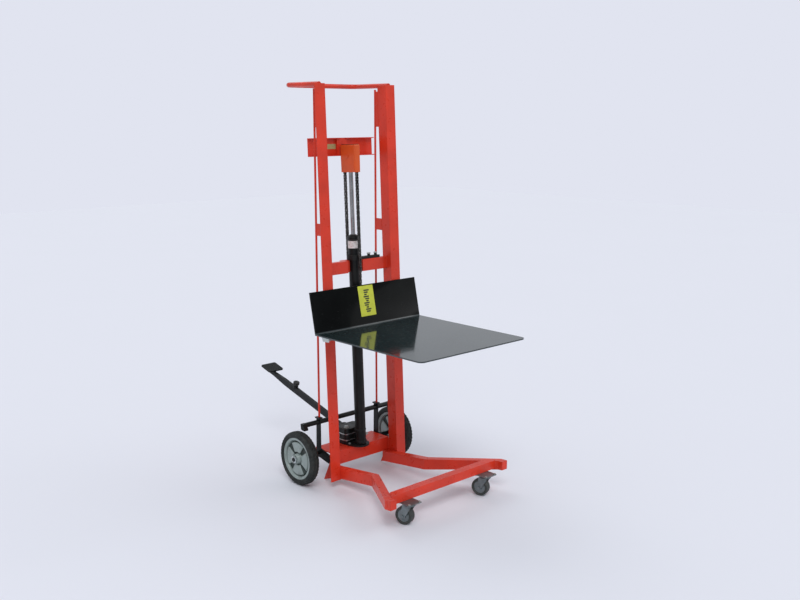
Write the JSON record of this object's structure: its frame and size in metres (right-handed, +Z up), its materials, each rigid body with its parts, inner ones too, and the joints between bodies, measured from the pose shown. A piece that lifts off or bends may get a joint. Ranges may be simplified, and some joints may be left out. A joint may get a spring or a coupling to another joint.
{
  "type": "foot-pump platform lift",
  "caption": "Foot-pumped hydraulic platform lift: angle-iron mast with ram and chain, folded load platform, flared base legs, large rear wheels, front swivel casters and a push handle.",
  "frame": {"origin": "on the floor, in the middle of the footprint of the whole machine (bounding box, platform and pedal included)", "axes": "+X to the operator's left hand side when facing the platform; -Y towards the platform, +Y towards the operator, +Z up"},
  "size_m": [0.723, 1.5078, 1.849],
  "materials": {
    "red_paint": "gloss powder coat",
    "orange_paint": "gloss powder coat",
    "black_paint": "satin",
    "gloss_black": "gloss",
    "bright_steel": "polished",
    "chain_steel": "oiled",
    "zinc": "zinc plated",
    "tyre_rubber": "matte",
    "caster_rubber": "matte",
    "wheel_grey": "satin silver"
  },
  "bodies": {
    "frame": {"upright_left": "red_paint", "upright_right": "red_paint", "handle": "red_paint", "truss_rod_left": "red_paint", "truss_rod_right": "red_paint", "mid_crossmember": "red_paint", "deck_plate": "red_paint", "base_leg_left": "red_paint", "base_leg_right": "red_paint", "front_crossbar": "red_paint", "axle_bracket_left": "black_paint", "axle_bracket_right": "black_paint", "rear_axle": "black_paint", "axle_collar_left": "zinc", "axle_collar_right": "zinc", "cylinder_tube": "black_paint", "cylinder_gland": "black_paint", "cylinder_clamp": "black_paint", "pump_reservoir": "black_paint", "pump_barrel": "black_paint", "pedal_pin": "zinc", "chain_anchor": "black_paint", "chain_tail_rear": "chain_steel", "caster_plate_left": "zinc", "caster_plate_right": "zinc"},
    "ram": {"ram_rod": "bright_steel", "ram_piston": "bright_steel", "sheave_housing": "orange_paint", "sheave_pin": "zinc", "crosshead_channel": "red_paint", "chain_loop": "chain_steel"},
    "sheave": {"chain_sheave": "bright_steel"},
    "carriage": {"platform": "gloss_black", "platform_rib_left": "gloss_black", "platform_rib_right": "gloss_black", "carriage_side_left": "zinc", "carriage_side_right": "zinc", "carriage_anchor": "gloss_black", "chain_tail_front": "chain_steel"},
    "pedal": {"pedal_arm": "black_paint", "pedal_pad": "black_paint"},
    "button": {"release_button": "black_paint"},
    "pump_rod": {"pump_piston": "bright_steel"},
    "brake": {"brake_bar": "black_paint"},
    "roller_upper_left": {"roller_upper_left": "zinc"},
    "roller_lower_left": {"roller_lower_left": "zinc"},
    "rear_wheel_left": {"rear_tyre_left": "tyre_rubber", "rear_wheel_hub_left": "wheel_grey"},
    "caster_swivel_left": {"caster_fork_left": "zinc", "caster_axle_left": "zinc"},
    "caster_wheel_left": {"caster_wheel_left": "caster_rubber"},
    "roller_upper_right": {"roller_upper_right": "zinc"},
    "roller_lower_right": {"roller_lower_right": "zinc"},
    "rear_wheel_right": {"rear_tyre_right": "tyre_rubber", "rear_wheel_hub_right": "wheel_grey"},
    "caster_swivel_right": {"caster_fork_right": "zinc", "caster_axle_right": "zinc"},
    "caster_wheel_right": {"caster_wheel_right": "caster_rubber"}
  },
  "joints": [
    {"name": "carriage_lift", "type": "slide", "parent": "frame", "child": "carriage", "axis": [0, 0.0436, 0.999], "range_m": [-0.55, 0.4]},
    {"name": "ram_extend", "type": "slide", "parent": "frame", "child": "ram", "axis": [0, 0.0436, 0.999], "range_m": [-0.276, 0.201]},
    {"name": "sheave_spin", "type": "hinge", "parent": "ram", "child": "sheave", "pos_m": [0, 0.05056, 1.51798], "axis": [1, 0, 0], "range_deg": [-275, 378]},
    {"name": "pedal_stroke", "type": "hinge", "parent": "frame", "child": "pedal", "pos_m": [0, 0.13413, 0.207], "axis": [1, 0, 0], "range_deg": [-22, 0], "stiffness_Nm_per_rad": 30, "springref_deg": 20.05},
    {"name": "pump_stroke", "type": "slide", "parent": "frame", "child": "pump_rod", "axis": [0, 0, 1], "range_m": [-0.0118, 0]},
    {"name": "release_press", "type": "slide", "parent": "pedal", "child": "button", "axis": [0, -0.2656, 0.9641], "range_m": [-0.008, 0], "stiffness_N_per_m": 800, "springref_m": 0.006},
    {"name": "brake_rock", "type": "hinge", "parent": "frame", "child": "brake", "pos_m": [0, 0.08613, 0.278], "axis": [1, 0, 0], "range_deg": [0, 11]},
    {"name": "roller_upper_left_spin", "type": "hinge", "parent": "carriage", "child": "roller_upper_left", "pos_m": [-0.217, -0.01136, 0.89308], "axis": [1, 0, 0], "range_deg": [-1664, 1212]},
    {"name": "roller_lower_left_spin", "type": "hinge", "parent": "carriage", "child": "roller_lower_left", "pos_m": [-0.217, -0.06266, 0.72216], "axis": [1, 0, 0], "range_deg": [-1212, 1664]},
    {"name": "rear_wheel_left_spin", "type": "hinge", "parent": "frame", "child": "rear_wheel_left", "pos_m": [-0.295, 0.08613, 0.127], "axis": [1, 0, 0], "continuous": true},
    {"name": "caster_swivel_left", "type": "hinge", "parent": "frame", "child": "caster_swivel_left", "pos_m": [-0.236, -0.60187, 0.09], "axis": [0, 0, 1], "continuous": true},
    {"name": "caster_wheel_left_spin", "type": "hinge", "parent": "caster_swivel_left", "child": "caster_wheel_left", "pos_m": [-0.24243, -0.58083, 0.04], "axis": [0.9563, 0.2924, 0], "continuous": true},
    {"name": "roller_upper_right_spin", "type": "hinge", "parent": "carriage", "child": "roller_upper_right", "pos_m": [0.217, -0.01136, 0.89308], "axis": [1, 0, 0], "range_deg": [-1664, 1212]},
    {"name": "roller_lower_right_spin", "type": "hinge", "parent": "carriage", "child": "roller_lower_right", "pos_m": [0.217, -0.06266, 0.72216], "axis": [1, 0, 0], "range_deg": [-1212, 1664]},
    {"name": "rear_wheel_right_spin", "type": "hinge", "parent": "frame", "child": "rear_wheel_right", "pos_m": [0.295, 0.08613, 0.127], "axis": [1, 0, 0], "continuous": true},
    {"name": "caster_swivel_right", "type": "hinge", "parent": "frame", "child": "caster_swivel_right", "pos_m": [0.236, -0.60187, 0.09], "axis": [0, 0, 1], "continuous": true},
    {"name": "caster_wheel_right_spin", "type": "hinge", "parent": "caster_swivel_right", "child": "caster_wheel_right", "pos_m": [0.22957, -0.58083, 0.04], "axis": [0.9563, 0.2924, 0], "continuous": true}
  ],
  "couplings": [
    {"joint": "ram_extend", "follows": "carriage_lift", "ratio": 0.5},
    {"joint": "sheave_spin", "follows": "carriage_lift", "rad_per_m": -11.905},
    {"joint": "pump_stroke", "follows": "pedal_stroke", "m_per_rad": 0.0298},
    {"joint": "roller_upper_left_spin", "follows": "carriage_lift", "rad_per_m": 52.632},
    {"joint": "roller_lower_left_spin", "follows": "carriage_lift", "rad_per_m": -52.632},
    {"joint": "roller_upper_right_spin", "follows": "carriage_lift", "rad_per_m": 52.632},
    {"joint": "roller_lower_right_spin", "follows": "carriage_lift", "rad_per_m": -52.632}
  ]
}
